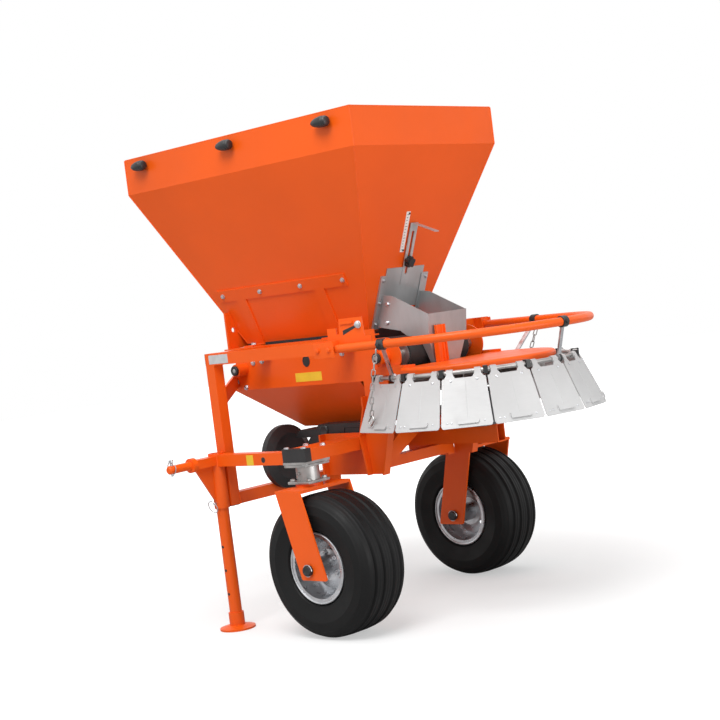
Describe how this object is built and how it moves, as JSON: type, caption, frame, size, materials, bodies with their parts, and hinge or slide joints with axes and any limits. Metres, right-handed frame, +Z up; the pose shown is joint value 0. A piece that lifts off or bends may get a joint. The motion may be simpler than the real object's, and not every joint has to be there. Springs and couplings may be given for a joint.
{
  "type": "fertilizer spreader",
  "caption": "Tractor-towed fertilizer spreader with an open tapered hopper, belt conveyor, spinner disc under hinged deflector flaps, two castor wheels and a parking jack",
  "frame": {"origin": "middle of the outline on the floor, at the height the tyres and the jack foot stand on", "axes": "+X forward to the tractor, +Y to the left of the machine, +Z up"},
  "size_m": [1.5994, 1.2734, 1.641],
  "materials": {
    "frame_orange": "semi-gloss orange powder coat",
    "stainless": "brushed stainless sheet",
    "tyre_rubber": "matt black ribbed rubber",
    "galvanised": "zinc plated",
    "black_rubber": "matt black",
    "black_plastic": "satin black",
    "bare_steel": "turned steel",
    "cast_grey": "painted casting"
  },
  "bodies": {
    "chassis": {"beam_caps": "black_plastic", "beam_saddles": "frame_orange", "belt_rollers": "bare_steel", "castor_beam": "frame_orange", "castor_hubs": "bare_steel", "conveyor_belt": "black_rubber", "discharge_chute": "stainless", "drive_case": "frame_orange", "drive_cover": "black_plastic", "drive_shafts": "bare_steel", "flap_hangers": "galvanised", "flap_rod": "bare_steel", "front_plate": "frame_orange", "gate_guides": "stainless", "gearbox": "cast_grey", "gearbox_arm": "frame_orange", "guard_bow": "frame_orange", "hitch_arm_left": "frame_orange", "hitch_arm_right": "frame_orange", "hopper_cradles": "frame_orange", "hopper_front": "frame_orange", "hopper_left": "frame_orange", "hopper_rear": "frame_orange", "hopper_right": "frame_orange", "hopper_skirt": "black_rubber", "lower_brace": "frame_orange", "mid_rails": "frame_orange", "post_left": "frame_orange", "post_right": "frame_orange", "pto_bracket": "frame_orange", "pto_guard": "black_plastic", "pto_shaft": "bare_steel", "rear_uprights": "frame_orange", "rod_clamps": "black_plastic", "roller_bearings": "frame_orange", "spinner_cover": "frame_orange", "star_knob": "black_plastic", "top_rails": "frame_orange", "trough_belly": "frame_orange", "trough_sides": "frame_orange", "trough_ties": "frame_orange"},
    "gate": {"gate_slide": "stainless"},
    "jack": {"jack_leg": "frame_orange"},
    "spinner": {"spinner_disc": "bare_steel"},
    "castor_left": {"castor_fork_left": "frame_orange"},
    "castor_right": {"castor_fork_right": "frame_orange"},
    "wheel_left": {"wheel_rim_left": "galvanised", "tyre_left": "tyre_rubber"},
    "wheel_right": {"wheel_rim_right": "galvanised", "tyre_right": "tyre_rubber"},
    "flap_1": {"flap_1": "stainless"},
    "flap_2": {"flap_2": "stainless"},
    "flap_3": {"flap_3": "stainless"},
    "flap_4": {"flap_4": "stainless"},
    "flap_5": {"flap_5": "stainless"},
    "flap_6": {"flap_6": "stainless"},
    "flap_7": {"flap_7": "stainless"},
    "flap_8": {"flap_8": "stainless"},
    "flap_9": {"flap_9": "stainless"},
    "flap_10": {"flap_10": "stainless"}
  },
  "joints": [
    {"name": "gate_slide", "type": "slide", "parent": "chassis", "child": "gate", "axis": [-0.3872, 0, 0.922], "range_m": [-0.07, 0.03]},
    {"name": "jack_slide", "type": "slide", "parent": "chassis", "child": "jack", "axis": [0, 0, 1], "range_m": [0, 0.118]},
    {"name": "spinner_turn", "type": "hinge", "parent": "chassis", "child": "spinner", "pos_m": [-0.38971, -0.05775, 0.735], "axis": [0, 0, 1], "continuous": true},
    {"name": "swivel_left", "type": "hinge", "parent": "chassis", "child": "castor_left", "pos_m": [-0.01971, 0.38925, 0.477], "axis": [0, 0, 1], "continuous": true},
    {"name": "wheel_left_turn", "type": "hinge", "parent": "castor_left", "child": "wheel_left", "pos_m": [-0.09171, 0.38925, 0.2285], "axis": [0, 1, 0], "continuous": true},
    {"name": "swivel_right", "type": "hinge", "parent": "chassis", "child": "castor_right", "pos_m": [-0.01971, -0.50475, 0.477], "axis": [0, 0, 1], "continuous": true},
    {"name": "wheel_right_turn", "type": "hinge", "parent": "castor_right", "child": "wheel_right", "pos_m": [0.05229, -0.50475, 0.2285], "axis": [0, 1, 0], "continuous": true},
    {"name": "flap_1_hinge", "type": "hinge", "parent": "chassis", "child": "flap_1", "pos_m": [-0.31399, 0.25764, 0.789], "axis": [0.9724, -0.2334, 0], "range_deg": [0, 60]},
    {"name": "flap_2_hinge", "type": "hinge", "parent": "chassis", "child": "flap_2", "pos_m": [-0.44325, 0.26216, 0.789], "axis": [0.9863, 0.165, 0], "range_deg": [0, 60]},
    {"name": "flap_3_hinge", "type": "hinge", "parent": "chassis", "child": "flap_3", "pos_m": [-0.56399, 0.21581, 0.789], "axis": [0.8434, 0.5373, 0], "range_deg": [0, 60]},
    {"name": "flap_4_hinge", "type": "hinge", "parent": "chassis", "child": "flap_4", "pos_m": [-0.65702, 0.12597, 0.789], "axis": [0.5664, 0.8241, 0], "range_deg": [0, 60]},
    {"name": "flap_5_hinge", "type": "hinge", "parent": "chassis", "child": "flap_5", "pos_m": [-0.70756, 0.00692, 0.789], "axis": [0.1994, 0.9799, 0], "range_deg": [0, 60]},
    {"name": "flap_6_hinge", "type": "hinge", "parent": "chassis", "child": "flap_6", "pos_m": [-0.70756, -0.12242, 0.789], "axis": [-0.1994, 0.9799, 0], "range_deg": [0, 60]},
    {"name": "flap_7_hinge", "type": "hinge", "parent": "chassis", "child": "flap_7", "pos_m": [-0.65702, -0.24147, 0.789], "axis": [-0.5664, 0.8241, 0], "range_deg": [0, 60]},
    {"name": "flap_8_hinge", "type": "hinge", "parent": "chassis", "child": "flap_8", "pos_m": [-0.56399, -0.33131, 0.789], "axis": [-0.8434, 0.5373, 0], "range_deg": [0, 60]},
    {"name": "flap_9_hinge", "type": "hinge", "parent": "chassis", "child": "flap_9", "pos_m": [-0.44325, -0.37766, 0.789], "axis": [-0.9863, 0.165, 0], "range_deg": [0, 60]},
    {"name": "flap_10_hinge", "type": "hinge", "parent": "chassis", "child": "flap_10", "pos_m": [-0.31399, -0.37314, 0.789], "axis": [-0.9724, -0.2334, 0], "range_deg": [0, 60]}
  ]
}
